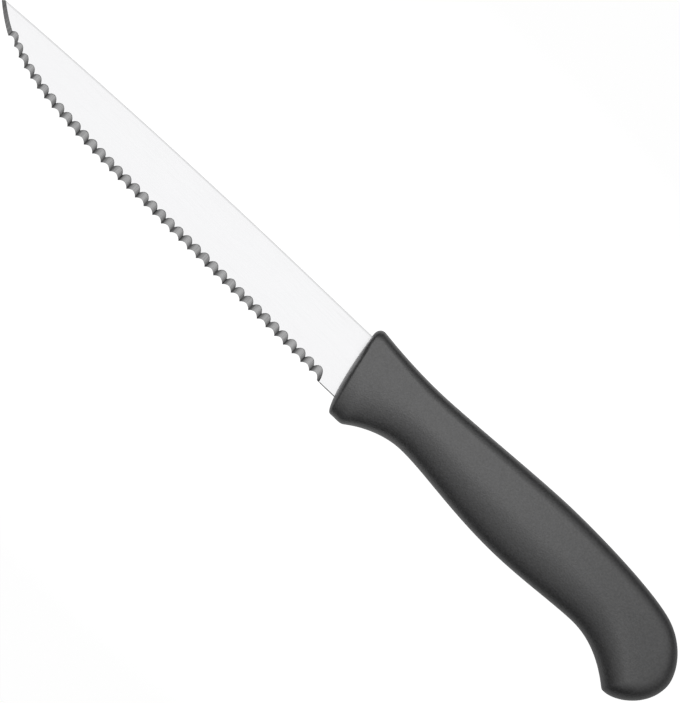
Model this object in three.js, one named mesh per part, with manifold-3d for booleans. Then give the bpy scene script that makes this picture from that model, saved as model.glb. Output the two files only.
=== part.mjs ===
// A steak knife: a stamped steel blade with a scalloped edge, and a plastic handle moulded round its tang.
// Millimetres. The knife lies on its side: -X to the tip, +X to the butt, +Y to the spine, and +Z up from
// the ground face. It is drawn from the heel: X = 0 and Y = 0 where the spine enters the handle, and Z = 0
// at mid thickness.
import * as THREE from 'three';
import { mergeVertices } from 'three/addons/utils/BufferGeometryUtils.js';
import Module from 'manifold-3d';

const wasm = await Module();
wasm.setup();

// Blade outline: the spine and the edge are one cubic curve each, from the heel to the tip
const BLADE_LENGTH = 120;
const BLADE_DEPTH = 16.9;
const BLADE_THICKNESS = 1;
const TIP_DROP = 2.45;
const TIP_BLUNT_LENGTH = 0.7;
const TIP_BLUNT_DROP = 0.55;
const SPINE_FALL_DEG = 2.55;
const EDGE_RISE_DEG = 1.72;
const TIP_EDGE_DEG = 41.6;
const SPINE_PULL = { heel: 0.15, tip: 0.5 };
const EDGE_PULL = { heel: 0.739, tip: 0.18 };

// The ground face slopes down to a thinner tip, and the corners of the spine are broken
const TAPER_LENGTH = 35;
const TAPER_DEPTH = 0.33;
const SPINE_CHAMFER_WIDTH = 0.45;
const SPINE_CHAMFER_DEPTH = 0.08;

// The edge is ground from the +Z face, down to the flat back: scallops side by side, then a plain tip. The
// wheel has round ribs, so every scallop runs straight across the blade. The teeth are honed from the back.
const GRIND_DEG = 26.5;
const SCALLOP_PITCH = 2.952;
const SCALLOP_RADIUS = 2.39;
const GULLET_HEIGHT = 1.08;
const FIRST_SCALLOP_AT = 3.6;
const PLAIN_TIP_LENGTH = 9.2;
const HONE_DEG = 12;
const HONE_HEIGHT = 0.95;

// Tang: the heel at full depth, then a flat bar with anchor holes
const HEEL_REACH = 7;
const TANG_LENGTH = 72;
const TANG_HEIGHT = 9;
const TANG_FILLET = 2;
const TANG_END_RADIUS = 3;
const TANG_HOLE_DIAMETER = 4.2;
const TANG_HOLE_COUNT = 3;
const TANG_HOLE_PITCH = 20;
const FIRST_TANG_HOLE_AT = 20;
const TANG_CLEARANCE = 0.25;

// Handle outline on the parting line: drops are below the spine line, rises above it
const HANDLE_LENGTH = 109.7;
const HANDLE_THICKNESS = 12.5;
const FRONT_CORNER = { x: 0.25, rise: 0.5 };
const FRONT_TOP = { x: 2.3, rise: 2.78 };
const GUARD_LIP = 3.65;
const GUARD_FLAT = { from: 6.6, to: 8.6 };
const GUARD_CORNER = { x: 4.9, up: 0.65 };
const GUARD_HEEL = { x: 10, up: 0.5 };
const NECK = { x: 24, drop: 15.15 };
const BELLY = { x: 58, drop: 17.92 };
const WAIST = { fromButt: 27.7, drop: 16.75 };
const HOOK = { fromButt: 10.3, drop: 23.85 };
const HOOK_NOSE = { length: 1.3, height: 0.45 };
const BUTT_DROP = 12.6;
const SHOULDER = { fromButt: 9.7, drop: 0.8 };
const CREST = { x: 63, rise: 2.95 };
const SADDLE = { x: 22, rise: 1.35 };

// How far the rounding of the handle reaches in from its outline before the flat side begins. Its section
// is a quarter of an ellipse, which has a fullness of 2, a fuller curve at the guard and a leaner one where
// the fingers lie.
const FRONT_ROUND = 1.6;
const GUARD_ROUND = 15;
const NECK_ROUND = 9.8;
const BELLY_ROUND = 12;
const WAIST_ROUND = 10.4;
const HOOK_ROUND = 6.5;
const BUTT_ROUND = 5.8;
const BACK_ROUND = 2.6;
const CREST_ROUND = 3.3;
const GUARD_FULLNESS = 2.4;
const GUARD_HEEL_FULLNESS = 2.3;
const NECK_FULLNESS = 1.9;
const FINGER_FULLNESS = 1.8;
const PARTING_FLAT = 0.6;
const DRAFT_DEG = 2;

// Fineness of the facets
const SPINE_STEPS = 24;
const EDGE_STEPS = 60;
const CORNER_STEPS = 6;
const HOLE_STEPS = 24;
const SCALLOP_SIDES = 32;
const OUTLINE_STEPS = 10;
const ROUND_RINGS = 5;
const EDGE_LENGTH_STEPS = 400;
const MERGE_DISTANCE = 1e-5;

const HALF_BLADE = BLADE_THICKNESS / 2;
const HALF_HANDLE = HANDLE_THICKNESS / 2;
const TANG_MIDDLE = (SADDLE.rise - NECK.drop) / 2;
const GRIND_ANGLE = THREE.MathUtils.degToRad(GRIND_DEG);
const point = (x, y) => new THREE.Vector2(x, y);

function heading(degrees) {
  const angle = THREE.MathUtils.degToRad(degrees);
  return point(Math.cos(angle), Math.sin(angle));
}

// Solids for cutting and joining

function solidFrom(geometry) {
  const bare = geometry.clone();
  bare.deleteAttribute('normal');
  bare.deleteAttribute('uv');
  const merged = mergeVertices(bare, MERGE_DISTANCE);
  return new wasm.Manifold(new wasm.Mesh({
    numProp: 3,
    vertProperties: new Float32Array(merged.attributes.position.array),
    triVerts: new Uint32Array(merged.index.array),
  }));
}

function geometryFrom(solid) {
  const mesh = solid.getMesh();
  const geometry = new THREE.BufferGeometry();
  geometry.setAttribute('position', new THREE.BufferAttribute(mesh.vertProperties, 3));
  geometry.setIndex(new THREE.BufferAttribute(mesh.triVerts, 1));
  geometry.computeVertexNormals();
  return geometry;
}

// A closed body through rings of matching points, with the same triangles closing both ends
function loft(rings, endFaces) {
  const count = rings[0].length;
  const index = [];
  for (let ring = 0; ring + 1 < rings.length; ring += 1) {
    for (let i = 0; i < count; i += 1) {
      const a = ring * count + i;
      const b = ring * count + (i + 1) % count;
      index.push(a, b, b + count, a, b + count, a + count);
    }
  }
  const last = (rings.length - 1) * count;
  for (const [a, b, c] of endFaces) {
    index.push(c, b, a, last + a, last + b, last + c);
  }
  const geometry = new THREE.BufferGeometry().setFromPoints(rings.flat());
  geometry.setIndex(index);
  return geometry;
}

// A flat plate of the given thickness about Z = 0
function plate(outline, holes, thickness) {
  const shape = new THREE.Shape(outline);
  shape.holes = holes.map((hole) => new THREE.Path(hole));
  const geometry = new THREE.ExtrudeGeometry(shape, { depth: thickness, bevelEnabled: false });
  return solidFrom(geometry.translate(0, 0, -thickness / 2));
}

function arc(x, y, radius, fromDeg, toDeg, steps) {
  const points = [];
  for (let i = 0; i <= steps; i += 1) {
    points.push(heading(fromDeg + (toDeg - fromDeg) * i / steps).multiplyScalar(radius).add(point(x, y)));
  }
  return points;
}

// A cubic curve that leaves one end and reaches the other along given headings
function cubic(from, fromDeg, fromPull, to, toDeg, toPull) {
  const leave = heading(fromDeg).multiplyScalar(fromPull).add(from);
  const arrive = heading(toDeg).multiplyScalar(-toPull).add(to);
  return new THREE.CubicBezierCurve(from, leave, arrive, to);
}

// Blade

const tip = point(-BLADE_LENGTH, -TIP_DROP);
const spineEnd = point(-BLADE_LENGTH + TIP_BLUNT_LENGTH, -TIP_DROP + TIP_BLUNT_DROP);
const heelEdge = point(0, -BLADE_DEPTH);
const spineCurve = cubic(
  point(0, 0), 180, BLADE_LENGTH * SPINE_PULL.heel,
  spineEnd, 180 + SPINE_FALL_DEG, BLADE_LENGTH * SPINE_PULL.tip,
);
const edgeCurve = cubic(
  heelEdge, 180 - EDGE_RISE_DEG, BLADE_LENGTH * EDGE_PULL.heel,
  tip, 180 - TIP_EDGE_DEG, BLADE_LENGTH * EDGE_PULL.tip,
);
edgeCurve.arcLengthDivisions = EDGE_LENGTH_STEPS;

// The heel and tang from the front of the handle inwards, running from the spine side round to the edge side
function tangOutline(frontX, grow) {
  const top = TANG_MIDDLE + TANG_HEIGHT / 2 + grow;
  const bottom = TANG_MIDDLE - TANG_HEIGHT / 2 - grow;
  const heelX = HEEL_REACH + grow;
  const endX = TANG_LENGTH + grow;
  const fillet = TANG_FILLET - grow;
  const endRadius = TANG_END_RADIUS + grow;
  return [
    point(frontX, grow),
    point(heelX, grow),
    ...arc(heelX + fillet, top + fillet, fillet, 180, 270, CORNER_STEPS),
    ...arc(endX - endRadius, top - endRadius, endRadius, 90, 0, CORNER_STEPS),
    ...arc(endX - endRadius, bottom + endRadius, endRadius, 0, -90, CORNER_STEPS),
    ...arc(heelX + fillet, bottom - fillet, fillet, 90, 180, CORNER_STEPS),
    point(heelX, -BLADE_DEPTH - grow),
    point(frontX, -BLADE_DEPTH - grow),
  ];
}

function tangHoles(shrink) {
  const holes = [];
  for (let i = 0; i < TANG_HOLE_COUNT; i += 1) {
    const x = FIRST_TANG_HOLE_AT + i * TANG_HOLE_PITCH;
    holes.push(arc(x, TANG_MIDDLE, TANG_HOLE_DIAMETER / 2 - shrink, 0, 360, HOLE_STEPS).slice(1));
  }
  return holes;
}

// Height of the ground face at a place along the blade
function faceHeight(x) {
  const intoTaper = Math.max(0, TAPER_LENGTH - BLADE_LENGTH - x) / TAPER_LENGTH;
  return HALF_BLADE - TAPER_DEPTH * intoTaper;
}

// What a wheel takes off along a line of places, moving with the blade on its right: all that lies above
// a slope which climbs across the blade and meets the given height setIn from each place
function grinding(places, across, setIn, slope, heightAt, side) {
  const reach = setIn + BLADE_THICKNESS;
  const rings = places.map(({ x, y }) => [
    new THREE.Vector3(x, y + across * (setIn + reach), side * (heightAt(x) + reach * slope)),
    new THREE.Vector3(x, y + across * (setIn - reach), side * (heightAt(x) - reach * slope)),
    new THREE.Vector3(x, y + across * (setIn - reach), side * (heightAt(x) + reach * slope)),
  ]);
  return solidFrom(loft(side > 0 ? rings : rings.reverse(), [[0, 1, 2]]));
}

// The wedge that thins the ground face towards the tip, drawn from the side and wider than the blade is deep
function taperWedge() {
  const aboveFace = 2 * TAPER_LENGTH - BLADE_LENGTH;
  const pastTip = -BLADE_LENGTH - BLADE_THICKNESS;
  const wedge = new THREE.Shape([
    point(aboveFace, HALF_BLADE + TAPER_DEPTH),
    point(pastTip, HALF_BLADE + TAPER_DEPTH),
    point(pastTip, faceHeight(pastTip)),
  ]);
  const geometry = new THREE.ExtrudeGeometry(wedge, { depth: 3 * BLADE_DEPTH, bevelEnabled: false });
  return solidFrom(geometry.rotateX(Math.PI / 2).translate(0, BLADE_DEPTH, 0));
}

// The corner broken off along the spine, from past the tip to inside the handle
function spineChamfer(side) {
  const places = [spineCurve.getTangent(1).add(spineEnd), ...spineCurve.getPoints(SPINE_STEPS).reverse()];
  places.push(point(HEEL_REACH, 0));
  const heightAt = side > 0 ? faceHeight : () => HALF_BLADE;
  const slope = SPINE_CHAMFER_DEPTH / SPINE_CHAMFER_WIDTH;
  return grinding(places, -1, SPINE_CHAMFER_WIDTH, slope, heightAt, side);
}

// Places along the edge between two distances from the heel
function edgePlaces(from, to, steps) {
  const places = [];
  for (let i = 0; i <= steps; i += 1) {
    places.push(edgeCurve.getPointAt((from + (to - from) * i / steps) / edgeCurve.getLength()));
  }
  return places;
}

// The plain bevel from the middle of the last scallop to past the tip, meeting the back face along the edge
function tipBevel(lastScallop) {
  const places = edgePlaces(lastScallop, edgeCurve.getLength(), SPINE_STEPS);
  places.push(edgeCurve.getTangentAt(1).add(tip));
  const slope = Math.tan(GRIND_ANGLE);
  return grinding(places, 1, BLADE_THICKNESS / slope, slope, () => HALF_BLADE, 1);
}

// The thin ends of the teeth honed off the back, from the first gullet to the last
function backHoning(lastScallop) {
  const places = edgePlaces(FIRST_SCALLOP_AT, lastScallop, EDGE_STEPS);
  const slope = Math.tan(THREE.MathUtils.degToRad(HONE_DEG));
  return grinding(places, 1, HONE_HEIGHT, slope, () => HALF_BLADE, -1);
}

// One scallop: a round rib laid across the edge, sloping from its crown on the face to its gullet on the
// back. The rib is twice as long each way as the slope between the two.
function scallop(along) {
  const at = edgeCurve.getPointAt(along / edgeCurve.getLength());
  const length = 4 * BLADE_THICKNESS / Math.sin(GRIND_ANGLE);
  const rib = new THREE.CylinderGeometry(SCALLOP_RADIUS, SCALLOP_RADIUS, length, SCALLOP_SIDES);
  rib.translate(0, 0, SCALLOP_RADIUS);
  rib.rotateX(GRIND_ANGLE);
  rib.translate(at.x, at.y + GULLET_HEIGHT, -HALF_BLADE);
  return solidFrom(rib);
}

function makeBlade() {
  const outline = [
    ...spineCurve.getPoints(SPINE_STEPS).reverse(),
    ...tangOutline(0, 0).slice(1, -1),
    ...edgeCurve.getPoints(EDGE_STEPS),
  ];
  let solid = plate(outline, tangHoles(0), BLADE_THICKNESS);
  solid = solid.subtract(taperWedge()).subtract(spineChamfer(1)).subtract(spineChamfer(-1));
  let along = FIRST_SCALLOP_AT;
  while (along + SCALLOP_PITCH <= edgeCurve.getLength() - PLAIN_TIP_LENGTH) {
    solid = solid.subtract(scallop(along));
    along += SCALLOP_PITCH;
  }
  solid = solid.subtract(scallop(along)).subtract(tipBevel(along)).subtract(backHoning(along));
  const steel = new THREE.MeshStandardMaterial({ color: 0xd8d9da, metalness: 1, roughness: 0.18 });
  const mesh = new THREE.Mesh(geometryFrom(solid), steel);
  mesh.name = 'blade';
  return mesh;
}

// Handle

// The outline's turning points, anticlockwise from the top front corner. Each has its place on the parting
// line, its heading, its pull on the curve before and after it as a share of the chord, and its step to the
// flat side, which at the corners is drawn with shares of the rounding beside them. At the guard the flat
// side's outline cuts the corner, so it has headings of its own there, and the rounding is fuller.
function outlineKeys() {
  const guardLow = -BLADE_DEPTH - GUARD_LIP;
  const fromButt = (distance) => HANDLE_LENGTH - distance;
  return [
    { at: point(FRONT_CORNER.x, FRONT_CORNER.rise), deg: -83, before: 0.45, after: 0.5,
      step: point(FRONT_ROUND, -0.7 * FRONT_ROUND) },
    { at: point(GUARD_CORNER.x, guardLow + GUARD_CORNER.up), deg: -59, before: 0.15, after: 0.5,
      step: point(-0.15 * GUARD_ROUND, 1.02 * GUARD_ROUND), flatDeg: -70, fullness: GUARD_FULLNESS },
    { at: point(GUARD_FLAT.from, guardLow), deg: 0, before: 0.5, after: 0.33,
      step: point(-0.21 * GUARD_ROUND, GUARD_ROUND), fullness: GUARD_FULLNESS },
    { at: point(GUARD_FLAT.to, guardLow), deg: 4, before: 0.33, after: 0.4,
      step: point(-0.24 * GUARD_ROUND, GUARD_ROUND), flatDeg: 0, fullness: GUARD_FULLNESS },
    { at: point(GUARD_HEEL.x, guardLow + GUARD_HEEL.up), deg: 36, before: 0.4, after: 0.33,
      step: point(-0.2 * GUARD_ROUND, 0.97 * GUARD_ROUND), flatDeg: 0, fullness: GUARD_HEEL_FULLNESS },
    { at: point(NECK.x, -NECK.drop), deg: 0, before: 0.33, after: 0.22,
      step: point(0, NECK_ROUND), fullness: NECK_FULLNESS },
    { at: point(BELLY.x, -BELLY.drop), deg: 0, before: 0.42, after: 0.36,
      step: point(0, BELLY_ROUND), fullness: FINGER_FULLNESS },
    { at: point(fromButt(WAIST.fromButt), -WAIST.drop), deg: 0, before: 0.23, after: 0.36,
      step: point(0, WAIST_ROUND), fullness: FINGER_FULLNESS },
    { at: point(fromButt(HOOK.fromButt + HOOK_NOSE.length), HOOK_NOSE.height - HOOK.drop), deg: -40,
      before: 0.335, after: 0.45, step: point(0.6 * HOOK_ROUND, HOOK_ROUND), fullness: FINGER_FULLNESS },
    { at: point(fromButt(HOOK.fromButt), -HOOK.drop), deg: 0, before: 0.45, after: 0.25,
      step: point(0.5 * HOOK_ROUND, HOOK_ROUND), fullness: FINGER_FULLNESS },
    { at: point(HANDLE_LENGTH, -BUTT_DROP), deg: 90, before: 0.43, after: 0.21,
      step: point(-BUTT_ROUND, 0) },
    { at: point(fromButt(SHOULDER.fromButt), -SHOULDER.drop), deg: 157.5, before: 0.47, after: 0.19,
      step: heading(-112.5).multiplyScalar((3 * BACK_ROUND + BUTT_ROUND) / 4) },
    { at: point(CREST.x, CREST.rise), deg: 180, before: 0.29, after: 0.25,
      step: point(0, -CREST_ROUND) },
    { at: point(SADDLE.x, SADDLE.rise), deg: 180, before: 0.21, after: 0.32, step: point(0, -BACK_ROUND) },
    { at: point(FRONT_TOP.x, FRONT_TOP.rise), deg: 172, before: 0.33, after: 0.45,
      step: point(0.9 * FRONT_ROUND, -1.4 * FRONT_ROUND) },
  ];
}

// A closed outline through places and headings at the keys
function outlineThrough(keys, places, headings) {
  return keys.flatMap((key, i) => {
    const next = (i + 1) % keys.length;
    const chord = places[i].distanceTo(places[next]);
    const curve = cubic(
      places[i], headings[i], key.after * chord,
      places[next], headings[next], keys[next].before * chord,
    );
    return curve.getPoints(OUTLINE_STEPS).slice(0, -1);
  });
}

// Rings from the flat back side up to the flat front side: rounding, drafted wall, parting line and back
function handleRings() {
  const keys = outlineKeys();
  const rim = outlineThrough(keys, keys.map(({ at }) => at), keys.map(({ deg }) => deg));
  const land = outlineThrough(
    keys,
    keys.map(({ at, step }) => step.clone().add(at)),
    keys.map(({ deg, flatDeg = deg }) => flatDeg),
  );
  const fullness = keys.flatMap(({ fullness: here = 2 }, i) => {
    const { fullness: there = 2 } = keys[(i + 1) % keys.length];
    return Array.from({ length: OUTLINE_STEPS }, (_, n) => here + (there - here) * n / OUTLINE_STEPS);
  });
  const draft = Math.tan(THREE.MathUtils.degToRad(DRAFT_DEG));
  const ringAt = (angle, side) => rim.map((outer, i) => {
    const power = 2 / fullness[i];
    const round = outer.distanceTo(land[i]);
    const rise = Math.min(round, HALF_HANDLE - PARTING_FLAT / 2);
    const wall = HALF_HANDLE - rise;
    const lean = Math.min(1, wall * draft / round);
    const share = lean + (1 - lean) * (1 - Math.cos(angle) ** power);
    const place = outer.clone().lerp(land[i], share);
    return new THREE.Vector3(place.x, place.y, side * (wall + rise * Math.sin(angle) ** power));
  });
  const rings = [rim.map((outer) => new THREE.Vector3(outer.x, outer.y, 0))];
  for (let ring = 0; ring <= ROUND_RINGS; ring += 1) {
    const angle = Math.PI / 2 * ring / ROUND_RINGS;
    rings.push(ringAt(angle, 1));
    rings.unshift(ringAt(angle, -1));
  }
  return { rings, landFaces: THREE.ShapeUtils.triangulateShape(land, []) };
}

function makeHandle() {
  const { rings, landFaces } = handleRings();
  const moulding = solidFrom(loft(rings, landFaces));
  const slot = plate(
    tangOutline(-HEEL_REACH, TANG_CLEARANCE),
    tangHoles(TANG_CLEARANCE),
    BLADE_THICKNESS + 2 * TANG_CLEARANCE,
  );
  const plastic = new THREE.MeshStandardMaterial({ color: 0x4b4b4c, metalness: 0, roughness: 0.6 });
  const mesh = new THREE.Mesh(geometryFrom(moulding.subtract(slot)), plastic);
  mesh.name = 'handle';
  return mesh;
}

// The knife, set down with its lower side on Z = 0 and its middle over the origin
const knife = new THREE.Group();
knife.name = 'steak_knife';
knife.add(makeBlade(), makeHandle());
const box = new THREE.Box3().setFromObject(knife);
const centre = box.getCenter(new THREE.Vector3());
knife.position.set(-centre.x, -centre.y, -box.min.z);

export default knife;
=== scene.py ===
import math
from collections import namedtuple

import bmesh
import bpy
import numpy as np
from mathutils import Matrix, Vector


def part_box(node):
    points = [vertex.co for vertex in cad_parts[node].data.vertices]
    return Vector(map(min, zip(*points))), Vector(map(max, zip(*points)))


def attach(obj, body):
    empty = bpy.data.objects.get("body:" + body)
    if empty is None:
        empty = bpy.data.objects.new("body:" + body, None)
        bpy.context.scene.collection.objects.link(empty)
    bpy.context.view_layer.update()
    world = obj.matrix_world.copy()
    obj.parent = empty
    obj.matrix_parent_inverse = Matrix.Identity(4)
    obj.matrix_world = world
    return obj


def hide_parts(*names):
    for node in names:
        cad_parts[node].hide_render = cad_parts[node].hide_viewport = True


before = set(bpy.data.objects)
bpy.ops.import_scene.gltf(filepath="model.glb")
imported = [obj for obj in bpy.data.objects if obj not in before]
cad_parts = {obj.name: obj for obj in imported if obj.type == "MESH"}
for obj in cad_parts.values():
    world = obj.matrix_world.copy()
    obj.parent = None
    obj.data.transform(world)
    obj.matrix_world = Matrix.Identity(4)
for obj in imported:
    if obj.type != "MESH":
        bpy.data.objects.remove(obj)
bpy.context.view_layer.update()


# Blade
# One stamping of stainless sheet with its tang, glazed to a bright satin face and thinned towards the tip.
# A wheel with round ribs has ground the scallops from this face, and a plain wheel the bevel at the tip. The
# thin ends of the teeth are honed off the back.

MM = 0.001
BLADE_LENGTH = 120.0
BLADE_DEPTH = 16.9
HALF_SHEET = 0.5
TIP_DROP = 2.45
TIP_BLUNT = (0.7, 0.55)
SPINE_FALL_DEG = 2.55
SPINE_PULLS = (18.0, 60.0)
EDGE_RISE_DEG = 1.72
TIP_EDGE_DEG = 41.6
EDGE_PULLS = (88.68, 21.6)
TAPER_LENGTH = 35.0
TAPER_DEPTH = 0.33
SPINE_CHAMFER_WIDTH = 0.45
SPINE_CHAMFER_DEPTH = 0.08

GRIND = math.radians(26.5)
SCALLOP_PITCH = 2.952
SCALLOP_RADIUS = 2.39
GULLET_HEIGHT = 1.08
FIRST_SCALLOP_AT = 3.6
PLAIN_TIP_LENGTH = 9.2
HONE = math.radians(12)
HONE_HEIGHT = 0.95
EASED_WIDTH = 0.22
EASED_DEPTH = 0.2
NOT_GROUND = -2 * BLADE_DEPTH

HEEL_REACH = 7.0
TANG_LENGTH = 72.0
TANG_TOP = -2.4
TANG_BOTTOM = -11.4
TANG_FILLET = 2.0
TANG_END_RADIUS = 3.0
TANG_HOLE_RADIUS = 2.1
TANG_HOLES_AT = (20.0, 40.0, 60.0)
TANG_RELIEF = 0.01
TANG_OVERLAP = 3.0

CURVE_STEPS = 2000
SCALLOP_COLUMNS = 20
TIP_COLUMNS = 40
HALVINGS = 40
MERGE_DISTANCE = 1e-7
CORNER_STEPS = 8
SHARP_ANGLE = math.radians(14)

SATIN_BRIGHT = (0.695, 0.695, 0.702, 1.0)
SATIN_DULL = (0.62, 0.62, 0.626, 1.0)
CORNER_BRIGHT = (0.61, 0.61, 0.616, 1.0)
CORNER_DULL = (0.54, 0.54, 0.545, 1.0)
GROUND_BRIGHT = (0.99, 0.99, 0.995, 1.0)
# The ground steel's dark colour serves both its streaks and its painted shade
GROUND_DARK_STREAKS_AND_SHADE = (0.06, 0.06, 0.061, 1.0)
LINES_ALONG = (150.0, 9000.0, 9000.0)
LINES_ACROSS = (2800.0, 180.0, 180.0)
CLOUDS_PER_METRE = 60.0
CLOUD_SHARE = 0.3
STREAK_SHARE = 1.4

# Painted shade on the ground steel, from 0 to 1. The stretches of it at the ridges and at the heel end of
# the first scallop begin at a share of a scallop's half width, and a painted band along the crown reaches a
# share of the way from the crown to the edge. The plain tip bevel is drawn at a middle level all over.
TIPWARD_RIDGE_FROM = 0.5
HEELWARD_RIDGE_FROM = 0.76
RIDGE_PAINTED_SHADE = 0.9
HEEL_FROM = 0.45
HEEL_FULL = 0.75
CROWN_BAND_SHARE = 0.13
CROWN_PAINTED_SHADE = 0.9
TIP_GREY_LEVEL = 0.44


def heading(degrees):
    return np.array([math.cos(math.radians(degrees)), math.sin(math.radians(degrees))])


def cubic(start, start_deg, start_pull, end, end_deg, end_pull, steps):
    """Points along a curve that leaves start and reaches end along given headings."""
    leave = start + heading(start_deg) * start_pull
    arrive = end - heading(end_deg) * end_pull
    t = np.linspace(0, 1, steps + 1)[:, None]
    return (1 - t) ** 3 * start + 3 * (1 - t) ** 2 * t * leave + 3 * (1 - t) * t**2 * arrive + t**3 * end


def arc(x, y, radius, start_deg, end_deg, steps):
    return [np.array([x, y]) + radius * heading(a) for a in np.linspace(start_deg, end_deg, steps + 1)]


# All sizes are drawn in millimetres from the heel, where the spine enters the handle at mid thickness
blade_low, blade_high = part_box("blade")
HEEL = Vector((
    blade_low.x + BLADE_LENGTH * MM,
    blade_low.y + BLADE_DEPTH * MM,
    (blade_low.z + blade_high.z) / 2,
))


def placed(x, y, z):
    return HEEL + Vector((x, y, z)) * MM


tip = np.array([-BLADE_LENGTH, -TIP_DROP])
spine = cubic(
    np.zeros(2), 180, SPINE_PULLS[0], tip + TIP_BLUNT, 180 + SPINE_FALL_DEG, SPINE_PULLS[1], CURVE_STEPS
)
spine = np.vstack([spine, tip])[::-1]
heel_corner = np.array([0, -BLADE_DEPTH])
edge = cubic(
    heel_corner, 180 - EDGE_RISE_DEG, EDGE_PULLS[0], tip, 180 - TIP_EDGE_DEG, EDGE_PULLS[1], CURVE_STEPS
)
edge_run = np.concatenate([[0], np.cumsum(np.linalg.norm(np.diff(edge, axis=0), axis=1))])
scallop_run = np.arange(FIRST_SCALLOP_AT, edge_run[-1] - PLAIN_TIP_LENGTH, SCALLOP_PITCH)
scallop_x = np.interp(scallop_run, edge_run, edge[:, 0])
scallop_y = np.interp(scallop_run, edge_run, edge[:, 1])


def blank_edge(x):
    """The stamped outline's lower side before grinding."""
    return np.interp(x, edge[::-1, 0], edge[::-1, 1])


def scallop_edge(k, x):
    """Where scallop k meets the flat back: it is cut by a cylinder, so it falls away from the gullet."""
    across = min(abs(x - scallop_x[k]), SCALLOP_RADIUS)
    sunk = SCALLOP_RADIUS - math.sqrt(SCALLOP_RADIUS**2 - across**2)
    return scallop_y[k] + GULLET_HEIGHT - sunk / math.sin(GRIND)


def crossing(rises, low, high):
    """Where a function that is negative at low and positive at high passes zero."""
    for _ in range(HALVINGS):
        middle = (low + high) / 2
        low, high = (low, middle) if rises(middle) > 0 else (middle, high)
    return (low + high) / 2


LAST = len(scallop_x) - 1
ridges = [
    crossing(lambda x: scallop_edge(k, x) - scallop_edge(k + 1, x), scallop_x[k + 1], scallop_x[k])
    for k in range(LAST)
]
tip_end = crossing(
    lambda x: scallop_edge(LAST, x) - blank_edge(x), scallop_x[LAST] - SCALLOP_RADIUS, scallop_x[LAST]
)

# The first scallop runs out on the plain heel where its cylinder comes up through the face
fade = (GULLET_HEIGHT * math.sin(GRIND) + 2 * HALF_SHEET * math.cos(GRIND)) / SCALLOP_RADIUS
heel_end = scallop_x[0] + SCALLOP_RADIUS * math.sqrt(1 - (1 - fade) ** 2)
borders = [heel_end, *ridges, tip_end]


def blade_section(x, ground, eased=0.0):
    """Eight corners of the section at x, from behind the spine over the face to behind the edge."""
    top = np.interp(x, spine[:, 0], spine[:, 1])
    bottom = blank_edge(x)
    face = HALF_SHEET - TAPER_DEPTH * max(0, TAPER_LENGTH - BLADE_LENGTH - x) / TAPER_LENGTH
    slope = math.tan(GRIND)
    shoulder = top - SPINE_CHAMFER_WIDTH
    fall = SPINE_CHAMFER_DEPTH / SPINE_CHAMFER_WIDTH
    low_edge = max(ground, bottom)
    side_top = np.clip(-HALF_SHEET + (low_edge - ground) * slope, -HALF_SHEET, face - eased * EASED_DEPTH)
    crown = [max(ground + (face + HALF_SHEET) / slope, low_edge + eased * EASED_WIDTH), face]
    on_face = [shoulder, face]
    on_spine = [top, face - SPINE_CHAMFER_DEPTH]
    if crown[0] > shoulder:
        y = (face + HALF_SHEET + ground * slope + fall * shoulder) / (slope + fall)
        y = min(y, top)
        z = max(-HALF_SHEET, -HALF_SHEET + (y - ground) * slope)
        crown = [y, z]
        on_face = [y, z]
        on_spine = [top, min(z, on_spine[1])] if y == top else on_spine
    under_spine = [top, min(SPINE_CHAMFER_DEPTH - HALF_SHEET, on_spine[1])]
    behind_spine = [max(shoulder, low_edge), -HALF_SHEET]
    front_low = [low_edge, side_top]
    back_low = [low_edge, -HALF_SHEET]
    if scallop_x[LAST] < x < scallop_x[0] and ground < bottom + HONE_HEIGHT:
        hone = math.tan(HONE)
        back_low = [bottom + HONE_HEIGHT, -HALF_SHEET]
        y = (ground * slope + back_low[0] * hone) / (slope + hone)
        front_low = [y, -HALF_SHEET + (y - ground) * slope]
    # The band of painted shade along the crown runs out at this corner
    crown_band = [(1 - CROWN_BAND_SHARE) * a + CROWN_BAND_SHARE * b for a, b in zip(crown, front_low)]
    corners = [behind_spine, under_spine, on_spine, on_face, crown, crown_band, front_low, back_low]
    return [placed(x, y, z) for y, z in corners]


# Two of the eight corners, and two of the blade's finishes
ON_FACE = 3
CROWN = 4
GROUND_SLOT = 1
CORNER_SLOT = 2

sections = []
painted_shade = []
for x in np.linspace(tip[0], tip_end, TIP_COLUMNS + 1)[:-1]:
    sections.append(blade_section(x, blank_edge(x)))
    painted_shade.append(TIP_GREY_LEVEL)
for k in range(LAST, -1, -1):
    left, right = borders[k + 1], borders[k]
    # Neighbouring scallops share the column on their ridge
    first = 1 if k < LAST else 0
    for turn in np.linspace(-math.pi / 2, math.pi / 2, SCALLOP_COLUMNS + 1)[first:]:
        x = (left + right) / 2 + (right - left) / 2 * math.sin(turn)
        sections.append(blade_section(x, scallop_edge(k, x)))
        # Painted shade: the ground steel is drawn darker towards each ridge and towards the heel end of the
        # first scallop
        if turn < 0:
            darkening = np.interp(-math.sin(turn), (TIPWARD_RIDGE_FROM, 1), (0, RIDGE_PAINTED_SHADE))
        elif k > 0:
            darkening = np.interp(math.sin(turn), (HEELWARD_RIDGE_FROM, 1), (0, RIDGE_PAINTED_SHADE))
        else:
            darkening = np.interp(math.sin(turn), (HEEL_FROM, HEEL_FULL), (0, 1))
        painted_shade.append(darkening)
for x in (heel_end + EASED_WIDTH, 0.0, HEEL_REACH):
    sections.append(blade_section(x, NOT_GROUND, eased=1.0))
    painted_shade.append(0)


def new_piece(name, shape, *finishes):
    """An object in the scene from a finished shape."""
    mesh = bpy.data.meshes.new(name)
    shape.to_mesh(mesh)
    shape.free()
    for finish in finishes:
        mesh.materials.append(finish)
    piece = bpy.data.objects.new(name, mesh)
    bpy.context.scene.collection.objects.link(piece)
    return piece


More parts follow.
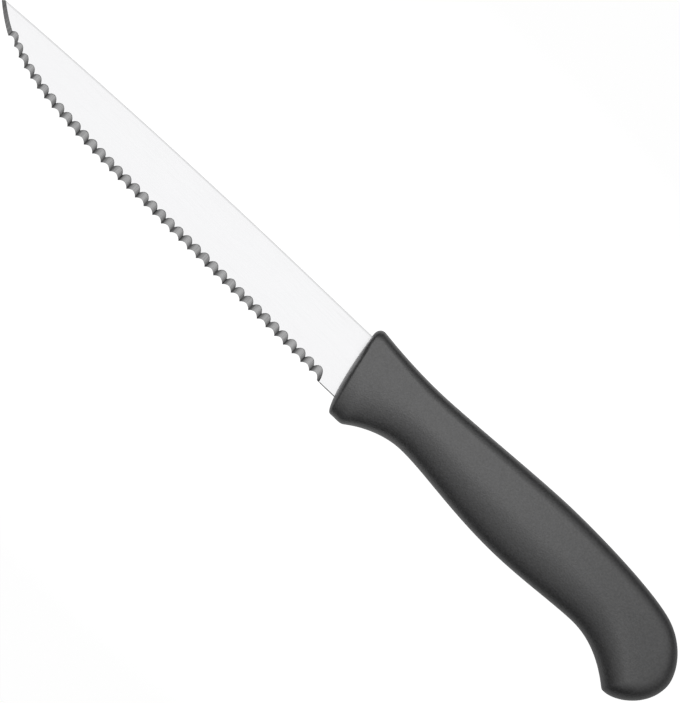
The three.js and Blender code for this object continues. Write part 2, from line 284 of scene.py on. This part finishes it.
def shade(piece, sharp_angle):
    """Shades a piece smooth, except over edges that turn by more than the angle."""
    piece.data.polygons.foreach_set("use_smooth", [True] * len(piece.data.polygons))
    piece.data.set_sharp_from_angle(angle=sharp_angle)


def shape_with(piece, tool, operation):
    """Joins the tool to the piece or cuts it out, and leaves the result as the piece's own mesh."""
    modifier = piece.modifiers.new("shape", "BOOLEAN")
    modifier.operation = operation
    modifier.solver = "EXACT"
    modifier.object = tool
    graph = bpy.context.evaluated_depsgraph_get()
    shaped = bpy.data.meshes.new_from_object(piece.evaluated_get(graph))
    piece.modifiers.clear()
    piece.data = shaped
    bpy.data.objects.remove(tool)


def plate(name, outline, holes, half_thickness):
    """A flat plate about mid thickness, with holes."""
    shape = bmesh.new()
    edges = []
    for loop in [outline, *holes]:
        corners = [shape.verts.new(placed(x, y, -half_thickness)) for x, y in loop]
        edges += [shape.edges.new((corners[i - 1], corners[i])) for i in range(len(corners))]
    flat = bmesh.ops.triangle_fill(shape, use_beauty=True, use_dissolve=False, edges=edges)
    faces = [item for item in flat["geom"] if isinstance(item, bmesh.types.BMFace)]
    raised = bmesh.ops.extrude_face_region(shape, geom=faces, use_keep_orig=True)
    corners = [item for item in raised["geom"] if isinstance(item, bmesh.types.BMVert)]
    bmesh.ops.translate(shape, vec=(0, 0, 2 * half_thickness * MM), verts=corners)
    bmesh.ops.recalc_face_normals(shape, faces=shape.faces)
    return new_piece(name, shape)


def tang_outline(front, grow):
    """The heel and tang seen from the side, from the spine round to the edge, grown on all sides."""
    heel = HEEL_REACH + grow
    end = TANG_LENGTH + grow
    top = TANG_TOP + grow
    bottom = TANG_BOTTOM - grow
    fillet = TANG_FILLET - grow
    radius = TANG_END_RADIUS + grow
    return [
        *arc(heel + fillet, top + fillet, fillet, 180, 270, CORNER_STEPS),
        *arc(end - radius, top - radius, radius, 90, 0, CORNER_STEPS),
        *arc(end - radius, bottom + radius, radius, 0, -90, CORNER_STEPS),
        *arc(heel + fillet, bottom - fillet, fillet, 90, 180, CORNER_STEPS),
        *front,
    ]


def tang_holes(shrink):
    middle = (TANG_TOP + TANG_BOTTOM) / 2
    return [arc(x, middle, TANG_HOLE_RADIUS - shrink, 0, 360, 4 * CORNER_STEPS)[1:] for x in TANG_HOLES_AT]


class Link:
    """A socket of a shader tree. Sums on it add Math nodes, and add() makes any other node of the tree."""

    def __init__(self, tree, socket=None):
        self.tree = tree
        self.socket = socket

    def add(self, kind, settings, values, output=0):
        node = self.tree.nodes.new(kind)
        for name, setting in settings.items():
            setattr(node, name, setting)
        for name, value in values.items():
            if isinstance(value, Link):
                self.tree.links.new(value.socket, node.inputs[name])
            else:
                node.inputs[name].default_value = value
        return Link(self.tree, node.outputs[output] if node.outputs else None)

    def math(self, operation, first, second):
        return self.add("ShaderNodeMath", {"operation": operation}, {0: first, 1: second})

    def __add__(self, other):
        return self.math("ADD", self, other)

    def __radd__(self, other):
        return self.math("ADD", other, self)

    def __sub__(self, other):
        return self.math("SUBTRACT", self, other)

    def __rsub__(self, other):
        return self.math("SUBTRACT", other, self)

    def __mul__(self, other):
        return self.math("MULTIPLY", self, other)

    def __rmul__(self, other):
        return self.math("MULTIPLY", other, self)


def new_finish(name):
    finish = bpy.data.materials.new(name)
    finish.use_nodes = True
    finish.node_tree.nodes.clear()
    return finish, Link(finish.node_tree)


def noise(tree, where, per_metre, detail):
    return tree.add("ShaderNodeTexNoise", {}, {"Vector": where, "Scale": per_metre, "Detail": detail})


def streaked_steel(name, bright, dark_streak_and_shade, lines_per_metre, line_depth, roughness, spread):
    """Bare steel with fine lines along the axis that has the fewest, and painted shade where its mesh says
    so.
    """
    finish, tree = new_finish(name)
    where = tree.add("ShaderNodeTexCoord", {}, {}, "Object")
    stretched = tree.add("ShaderNodeMapping", {}, {"Vector": where, "Scale": lines_per_metre})
    lines = tree.add("ShaderNodeTexNoise", {}, {
        "Vector": stretched, "Scale": 1.0, "Detail": 4.0, "Roughness": 0.6,
    })
    cloud = noise(tree, where, CLOUDS_PER_METRE, detail=2.0)
    # The painted shade from the mesh, with the streaks on top of it
    painted_shade_level = tree.add("ShaderNodeAttribute", {"attribute_name": "painted_shade"}, {}, "Fac")
    darkening = painted_shade_level + STREAK_SHARE * (lines - 0.5)
    tint = tree.add("ShaderNodeMix", {"data_type": "RGBA"}, {0: darkening, 6: bright, 7: dark_streak_and_shade}, 2)
    relief = tree.add("ShaderNodeBump", {}, {"Height": lines, "Distance": line_depth * MM})
    steel = tree.add("ShaderNodeBsdfPrincipled", {}, {
        "Base Color": tint,
        "Metallic": 1.0,
        "Roughness": roughness + spread * (lines - 0.5) + CLOUD_SHARE * spread * (cloud - 0.5),
        "Normal": relief,
    })
    tree.add("ShaderNodeOutputMaterial", {}, {"Surface": steel})
    return finish


satin_steel = streaked_steel(
    "satin_steel", SATIN_BRIGHT, SATIN_DULL, LINES_ALONG, line_depth=0.0004, roughness=0.2, spread=0.1
)
corner_steel = streaked_steel(
    "corner_steel", CORNER_BRIGHT, CORNER_DULL, LINES_ALONG, line_depth=0.0004, roughness=0.2, spread=0.1
)
ground_steel = streaked_steel(
    "ground_steel", GROUND_BRIGHT, GROUND_DARK_STREAKS_AND_SHADE, LINES_ACROSS, line_depth=0.015, roughness=0.28, spread=0.16
)

blade_mesh = bmesh.new()
painted_shade_layer = blade_mesh.loops.layers.float.new("painted_shade")
corner_rows = [[blade_mesh.verts.new(corner) for corner in section] for section in sections]
painted_shade_of = {}
for row, level in zip(corner_rows, painted_shade):
    painted_shade_of.update({corner: level for corner in row})
    # A band of painted shade along each crown
    painted_shade_of[row[CROWN]] = max(level, CROWN_PAINTED_SHADE)
for here, there in zip(corner_rows, corner_rows[1:]):
    for i in range(len(here)):
        j = (i + 1) % len(here)
        face = blade_mesh.faces.new((here[i], here[j], there[j], there[i]))
        if i < ON_FACE:
            face.material_index = CORNER_SLOT
        elif CROWN <= i < len(here) - 1:
            face.material_index = GROUND_SLOT
            for loop in face.loops:
                loop[painted_shade_layer] = painted_shade_of[loop.vert]
blade_mesh.faces.new(corner_rows[0])
blade_mesh.faces.new(corner_rows[-1])
bmesh.ops.remove_doubles(blade_mesh, verts=blade_mesh.verts, dist=MERGE_DISTANCE)
bmesh.ops.dissolve_degenerate(blade_mesh, edges=blade_mesh.edges, dist=MERGE_DISTANCE)
bmesh.ops.recalc_face_normals(blade_mesh, faces=blade_mesh.faces)
blade = new_piece("blade_steel", blade_mesh, satin_steel, ground_steel, corner_steel)
root_x = HEEL_REACH - TANG_OVERLAP
root = [(root_x, TANG_BOTTOM - TANG_FILLET), (root_x, TANG_TOP + TANG_FILLET)]
tang = plate("tang", tang_outline(root, 0), tang_holes(0), HALF_SHEET - TANG_RELIEF)
shape_with(blade, tang, "UNION")
shade(blade, SHARP_ANGLE)
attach(blade, "root")
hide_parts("blade")


# Handle
# One injection moulding of dark grey plastic, shot round the tang and keyed through its holes. Its skin has
# the fine grain of the mould, and a faint witness line runs round it where the two halves of the mould met.

HALF_HANDLE = 6.25
HANDLE_LENGTH = 109.7
GUARD_LOW = -20.55
FRONT_ROUND = 1.6
GUARD_ROUND = 15.0
NECK_ROUND = 9.8
BELLY_ROUND = 12.0
WAIST_ROUND = 10.4
HOOK_ROUND = 6.5
BUTT_ROUND = 5.8
BACK_ROUND = 2.6
CREST_ROUND = 3.3
PARTING_FLAT = 0.6
DRAFT = math.tan(math.radians(2))
WITNESS_HALF_WIDTH = 0.07
WITNESS_DEPTH = 0.04
TANG_CLEARANCE = 0.04

OUTLINE_STEPS = 20
ROUND_RINGS = 16
SMOOTH_BELOW = math.radians(35)

DARK_PLASTIC = (0.013, 0.013, 0.0135, 1.0)
PALE_PLASTIC = (0.036, 0.036, 0.0375, 1.0)
SPECKS_PER_METRE = 1900.0
SPECK_CONTRAST = 3.0
GRAIN_PER_METRE = 2600.0
GRAIN_DEPTH = 0.055
BLOTCHES_PER_METRE = 250.0
PLASTIC_ROUGHNESS = 0.36
GRAIN_ROUGHNESS = 0.12
BLOTCH_ROUGHNESS = 0.06
PLASTIC_IOR = 1.57

# Turning points of the outline, anticlockwise from the top front corner: place and heading on the parting
# line, pull on the curve before and after it as a share of the chord, step in to the flat side and heading
# there, and fullness of the rounding between, which is 2 for an ellipse and more for a flatter side
Turning = namedtuple("Turning", "place heading before after step flat_heading fullness")
OUTLINE = [Turning(*row) for row in (
    ((0.25, 0.5), -83, 0.45, 0.5, (FRONT_ROUND, -0.7 * FRONT_ROUND), -83, 2),
    ((4.9, GUARD_LOW + 0.65), -59, 0.15, 0.5, (-0.15 * GUARD_ROUND, 1.02 * GUARD_ROUND), -70, 2.4),
    ((6.6, GUARD_LOW), 0, 0.5, 0.33, (-0.21 * GUARD_ROUND, GUARD_ROUND), 0, 2.4),
    ((8.6, GUARD_LOW), 4, 0.33, 0.4, (-0.24 * GUARD_ROUND, GUARD_ROUND), 0, 2.4),
    ((10.0, GUARD_LOW + 0.5), 36, 0.4, 0.33, (-0.2 * GUARD_ROUND, 0.97 * GUARD_ROUND), 0, 2.3),
    ((24.0, -15.15), 0, 0.33, 0.22, (0, NECK_ROUND), 0, 1.9),
    ((58.0, -17.92), 0, 0.42, 0.36, (0, BELLY_ROUND), 0, 1.8),
    ((82.0, -16.75), 0, 0.23, 0.36, (0, WAIST_ROUND), 0, 1.8),
    ((98.1, -23.4), -40, 0.335, 0.45, (0.6 * HOOK_ROUND, HOOK_ROUND), -40, 1.8),
    ((99.4, -23.85), 0, 0.45, 0.25, (0.5 * HOOK_ROUND, HOOK_ROUND), 0, 1.8),
    ((HANDLE_LENGTH, -12.6), 90, 0.43, 0.21, (-BUTT_ROUND, 0), 90, 2),
    ((100.0, -0.8), 157.5, 0.47, 0.19, tuple(heading(-112.5) * (3 * BACK_ROUND + BUTT_ROUND) / 4), 157.5, 2),
    ((63.0, 2.95), 180, 0.29, 0.25, (0, -CREST_ROUND), 180, 2),
    ((22.0, 1.35), 180, 0.21, 0.32, (0, -BACK_ROUND), 180, 2),
    ((2.3, 2.78), 172, 0.33, 0.45, (0.9 * FRONT_ROUND, -1.4 * FRONT_ROUND), 172, 2),
)]


def outline_through(places, headings):
    """A closed outline through places and headings at the turning points."""
    points = []
    for i, turning in enumerate(OUTLINE):
        j = (i + 1) % len(OUTLINE)
        chord = np.linalg.norm(places[j] - places[i])
        before, after = OUTLINE[j].before * chord, turning.after * chord
        curve = cubic(places[i], headings[i], after, places[j], headings[j], before, OUTLINE_STEPS)
        points.append(curve[:-1])
    return np.vstack(points)


rim_places = [np.array(turning.place) for turning in OUTLINE]
land_places = [np.array(turning.place) + np.array(turning.step) for turning in OUTLINE]
rim = outline_through(rim_places, [turning.heading for turning in OUTLINE])
land = outline_through(land_places, [turning.flat_heading for turning in OUTLINE])
rounding = np.linalg.norm(land - rim, axis=1)
fullness = np.array([turning.fullness for turning in OUTLINE])
steps = np.arange(len(rim)) / OUTLINE_STEPS
power = 2 / np.interp(steps, np.arange(len(OUTLINE)), fullness)
rise = np.minimum(rounding, HALF_HANDLE - PARTING_FLAT / 2)
wall = HALF_HANDLE - rise


def handle_ring(share, height):
    """Points at the given shares of the way from the parting outline to the flat side's, and at heights."""
    points = rim + (land - rim) * share[:, None]
    return [placed(x, y, z) for (x, y), z in zip(points, height)]


def half_rings(side):
    """Rings from the witness line up to the flat side: wall with draft, then a quarter turn."""
    set_in = WITNESS_DEPTH / rounding
    rings = [handle_ring(set_in, np.full(len(rim), side * WITNESS_HALF_WIDTH))]
    lean = np.minimum(1, set_in + wall * DRAFT / rounding)
    for turn in np.linspace(0, math.pi / 2, ROUND_RINGS + 1):
        share = lean + (1 - lean) * (1 - abs(math.cos(turn)) ** power)
        rings.append(handle_ring(share, side * (wall + rise * math.sin(turn) ** power)))
    return rings


def grained_plastic(name, dark, pale):
    """Matt plastic with specks of pigment and the fine spark-eroded grain of its mould."""
    finish, tree = new_finish(name)
    where = tree.add("ShaderNodeTexCoord", {}, {}, "Object")
    grain = noise(tree, where, GRAIN_PER_METRE, detail=3.0)
    blotch = noise(tree, where, BLOTCHES_PER_METRE, detail=3.0)
    specks = noise(tree, where, SPECKS_PER_METRE, detail=2.0)
    share = 0.5 + SPECK_CONTRAST * (specks - 0.5)
    colour = tree.add("ShaderNodeMix", {"data_type": "RGBA"}, {0: share, 6: dark, 7: pale}, 2)
    relief = tree.add("ShaderNodeBump", {}, {"Height": grain, "Distance": GRAIN_DEPTH * MM})
    plastic = tree.add("ShaderNodeBsdfPrincipled", {}, {
        "Base Color": colour,
        "Roughness": PLASTIC_ROUGHNESS + GRAIN_ROUGHNESS * (grain - 0.5) + BLOTCH_ROUGHNESS * (blotch - 0.5),
        "IOR": PLASTIC_IOR,
        "Specular IOR Level": 1.0,
        "Normal": relief,
    })
    tree.add("ShaderNodeOutputMaterial", {}, {"Surface": plastic})
    return finish


handle_mesh = bmesh.new()
witness = handle_ring(np.zeros(len(rim)), np.zeros(len(rim)))
corner_rows = [
    [handle_mesh.verts.new(corner) for corner in ring]
    for ring in [*half_rings(-1)[::-1], witness, *half_rings(1)]
]
for here, there in zip(corner_rows, corner_rows[1:]):
    for i in range(len(here)):
        handle_mesh.faces.new((here[i - 1], here[i], there[i], there[i - 1]))
# These faces are a little twisted, and the slot is cut cleanly only through flat ones
bmesh.ops.triangulate(handle_mesh, faces=handle_mesh.faces)
handle_mesh.faces.new(corner_rows[0])
handle_mesh.faces.new(corner_rows[-1])
bmesh.ops.recalc_face_normals(handle_mesh, faces=handle_mesh.faces)
plastic = grained_plastic("grained_plastic", DARK_PLASTIC, PALE_PLASTIC)
handle = new_piece("handle_moulding", handle_mesh, plastic)
mouth = [
    (HEEL_REACH + TANG_CLEARANCE, -BLADE_DEPTH - TANG_CLEARANCE),
    (-HEEL_REACH, -BLADE_DEPTH - TANG_CLEARANCE),
    (-HEEL_REACH, TANG_CLEARANCE),
    (HEEL_REACH + TANG_CLEARANCE, TANG_CLEARANCE),
]
slot = plate(
    "slot", tang_outline(mouth, TANG_CLEARANCE), tang_holes(TANG_CLEARANCE), HALF_SHEET + TANG_CLEARANCE
)
shape_with(handle, slot, "DIFFERENCE")
shade(handle, SMOOTH_BELOW)
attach(handle, "root")
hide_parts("handle")


# Floor
# A table that the knife lies on. It looks white and keeps the soft shadow that the knife throws. A pool of
# light is
# painted on it: its colour, and the glow that reflections see, are pale close to the knife and dark further
# off, which gives the knife a light rim from close by, while its far parts are painted dark.

FLOOR_HALF_WIDTH = 4.0
FLOOR_DROP = 0.00005
# Colours of the painted pool of light round the knife and of the painted dark beyond it
PAINTED_POOL_COLOUR = (0.3, 0.3, 0.3, 1.0)
PAINTED_DARK_COLOUR = (0.05, 0.05, 0.05, 1.0)
WHITE = (1.0, 1.0, 1.0, 1.0)
FLOOR_GLOW = 0.96
GLOSSY_SHARE = 0.42
PALE_SHAPE = (0.45, 1.0, 1.0)
PALE_WITHIN = 0.035
DARK_BEYOND = 0.09

floor_finish, tree = new_finish("pale_table")
camera_ray = tree.add("ShaderNodeLightPath", {}, {}, "Is Camera Ray")
glossy_ray = tree.add("ShaderNodeLightPath", {}, {}, "Is Glossy Ray")
clear_ray = tree.add("ShaderNodeLightPath", {}, {}, "Is Transmission Ray")
where = tree.add("ShaderNodeTexCoord", {}, {}, "Object")
squeezed = tree.add("ShaderNodeMapping", {}, {"Vector": where, "Scale": PALE_SHAPE})
away = tree.add("ShaderNodeVectorMath", {"operation": "LENGTH"}, {0: squeezed}, "Value")
# Painted pool of light: the floor's colour and its glow in reflections fade from near the knife to far off
painted_pool = tree.add("ShaderNodeMapRange", {}, {
    "Value": away, "From Min": PALE_WITHIN, "From Max": DARK_BEYOND, "To Min": 1.0, "To Max": 0.0,
})
seen = camera_ray + clear_ray + GLOSSY_SHARE * glossy_ray * painted_pool
pool_bounce = tree.add("ShaderNodeBsdfDiffuse", {}, {"Color": PAINTED_POOL_COLOUR})
dark_bounce = tree.add("ShaderNodeBsdfDiffuse", {}, {"Color": PAINTED_DARK_COLOUR})
bounce = tree.add("ShaderNodeMixShader", {}, {0: painted_pool, 1: dark_bounce, 2: pool_bounce})
glow = tree.add("ShaderNodeEmission", {}, {"Color": WHITE, "Strength": FLOOR_GLOW})
pale = tree.add("ShaderNodeAddShader", {}, {0: bounce, 1: glow})
surface = tree.add("ShaderNodeMixShader", {}, {0: seen, 1: bounce, 2: pale})
tree.add("ShaderNodeOutputMaterial", {}, {"Surface": surface})

floor_mesh = bmesh.new()
corners = [(-1, -1), (1, -1), (1, 1), (-1, 1)]
floor_mesh.faces.new([
    floor_mesh.verts.new((x * FLOOR_HALF_WIDTH, y * FLOOR_HALF_WIDTH, -FLOOR_DROP)) for x, y in corners
])
floor = new_piece("floor", floor_mesh, floor_finish)


# Light
# A soft box close over the blade's end of the table, in a room that is brightest straight overhead and has a
# pale wall at each end.

BOX_WIDTH = 0.28
BOX_DEPTH = 0.105
BOX_CENTRE = (-0.051, 0.0075, 0.15)
BOX_RADIANCE = 0.7
ZENITH_RADIANCE = 0.64
HORIZON_RADIANCE = 0.02
FALLS_FROM = math.radians(28)
DARK_AT = math.radians(87)

# The way to each pale wall, and how bright the wall is
WALLS = (((0.88, 0.47, 0.0), 0.34), ((-1.0, 0.0, 0.0), 0.1))

lamp = bpy.data.lights.new("soft_box", "AREA")
lamp.shape = "RECTANGLE"
lamp.size = BOX_WIDTH
lamp.size_y = BOX_DEPTH
lamp.energy = BOX_RADIANCE * math.pi * BOX_WIDTH * BOX_DEPTH
soft_box = bpy.data.objects.new("soft_box", lamp)
soft_box.location = BOX_CENTRE
soft_box.visible_camera = False
bpy.context.scene.collection.objects.link(soft_box)

room = bpy.data.worlds.new("room")
room.use_nodes = True
room.node_tree.nodes.clear()
tree = Link(room.node_tree)
direction = tree.add("ShaderNodeTexCoord", {}, {}, "Generated")
up = tree.add("ShaderNodeSeparateXYZ", {}, {"Vector": direction}, "Z")
from_zenith = tree.math("ARCCOSINE", up, 0.0)
level = tree.add("ShaderNodeMapRange", {"interpolation_type": "SMOOTHSTEP"}, {
    "Value": from_zenith,
    "From Min": FALLS_FROM,
    "From Max": DARK_AT,
    "To Min": ZENITH_RADIANCE,
    "To Max": HORIZON_RADIANCE,
})
for towards, radiance in WALLS:
    both = {0: direction, 1: towards}
    facing = tree.add("ShaderNodeVectorMath", {"operation": "DOT_PRODUCT"}, both, "Value")
    level = level + tree.add("ShaderNodeMapRange", {}, {"Value": facing, "To Max": radiance})
camera_ray = tree.add("ShaderNodeLightPath", {}, {}, "Is Camera Ray")
clear_ray = tree.add("ShaderNodeLightPath", {}, {}, "Is Transmission Ray")
black = tree.add("ShaderNodeBackground", {}, {"Strength": 0.0})
white = tree.add("ShaderNodeBackground", {}, {"Color": WHITE, "Strength": 1.0})
glow = tree.add("ShaderNodeMixShader", {}, {0: level + camera_ray + clear_ray, 1: black, 2: white})
tree.add("ShaderNodeOutputWorld", {}, {"Surface": glow})
bpy.context.scene.world = room


# Camera
# It looks straight down on the knife from well above, with a long lens, and is turned so that the tip of the
# blade points to the upper left.

IMAGE_WIDTH = 163.46
CAMERA_HEIGHT = 2.5
CAMERA_OVER = (-2.8, -8.0)
CAMERA_TURN = math.radians(43.4)
SENSOR_WIDTH = 36.0
IMAGE_SHAPE = 703 / 680

# The picture is taller than it is wide, so the sensor's width spans its height
camera_data = bpy.data.cameras.new("camera")
camera_data.sensor_width = SENSOR_WIDTH
camera_data.lens = SENSOR_WIDTH * CAMERA_HEIGHT / (IMAGE_WIDTH * MM * IMAGE_SHAPE)
camera = bpy.data.objects.new("camera", camera_data)
camera.location = placed(*CAMERA_OVER, CAMERA_HEIGHT / MM)
camera.rotation_euler = (0, 0, CAMERA_TURN)
bpy.context.scene.collection.objects.link(camera)
bpy.context.scene.camera = camera
bpy.context.scene.view_settings.view_transform = "Standard"
